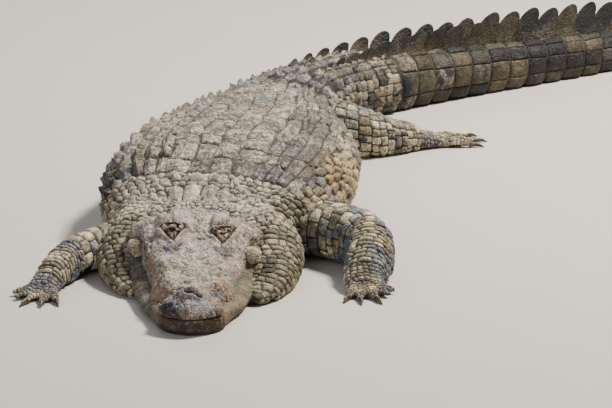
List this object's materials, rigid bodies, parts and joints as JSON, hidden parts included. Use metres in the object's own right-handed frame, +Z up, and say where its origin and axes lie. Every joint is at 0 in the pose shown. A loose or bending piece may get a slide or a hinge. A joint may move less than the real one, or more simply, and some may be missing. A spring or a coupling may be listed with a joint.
{
  "type": "nile crocodile",
  "caption": "life-size still model of a Nile crocodile lying on the floor with its jaws and eyes shut, its tail bent to its left side",
  "frame": {"origin": "on the floor under the middle of the chest, on the flat of the belly skin", "axes": "+Z up, the head points to -Y, the animal's left side is +X, the tail goes back and to +X"},
  "size_m": [2.4451, 3.673, 0.2996],
  "materials": {
    "head_skin": "dry scaled hide, sandy grey with dried mud",
    "jaw_skin": "scaled hide, olive and cream",
    "neck_skin": "pebbly hide, olive cream with dark grooves",
    "back_skin": "keeled scutes, beige with blue-black patches",
    "tail_skin": "ringed scales, olive and blue-black bands",
    "limb_skin": "plated hide, cream olive with dark gaps",
    "claws": "worn dark horn",
    "eyelids": "brown wrinkled lids"
  },
  "bodies": {
    "root": {"head_upper": "head_skin", "head_lower_jaw": "jaw_skin", "eye_right": "eyelids", "eye_left": "eyelids", "neck": "neck_skin", "chest": "back_skin", "belly": "back_skin", "hips": "back_skin", "tail_base": "tail_skin", "tail_middle": "tail_skin", "tail_rear": "tail_skin", "tail_tip": "tail_skin", "fore_left_upper_arm": "limb_skin", "fore_left_forearm": "limb_skin", "fore_left_hand": "limb_skin", "fore_left_claw_1": "claws", "fore_left_claw_2": "claws", "fore_left_claw_3": "claws", "fore_right_upper_arm": "limb_skin", "fore_right_forearm": "limb_skin", "fore_right_hand": "limb_skin", "fore_right_claw_1": "claws", "fore_right_claw_2": "claws", "fore_right_claw_3": "claws", "hind_left_thigh": "limb_skin", "hind_left_shank": "limb_skin", "hind_left_foot": "limb_skin", "hind_left_claw_1": "claws", "hind_left_claw_2": "claws", "hind_left_claw_3": "claws", "hind_right_thigh": "limb_skin", "hind_right_shank": "limb_skin", "hind_right_foot": "limb_skin", "hind_right_claw_1": "claws", "hind_right_claw_2": "claws", "hind_right_claw_3": "claws"}
  },
  "joints": []
}
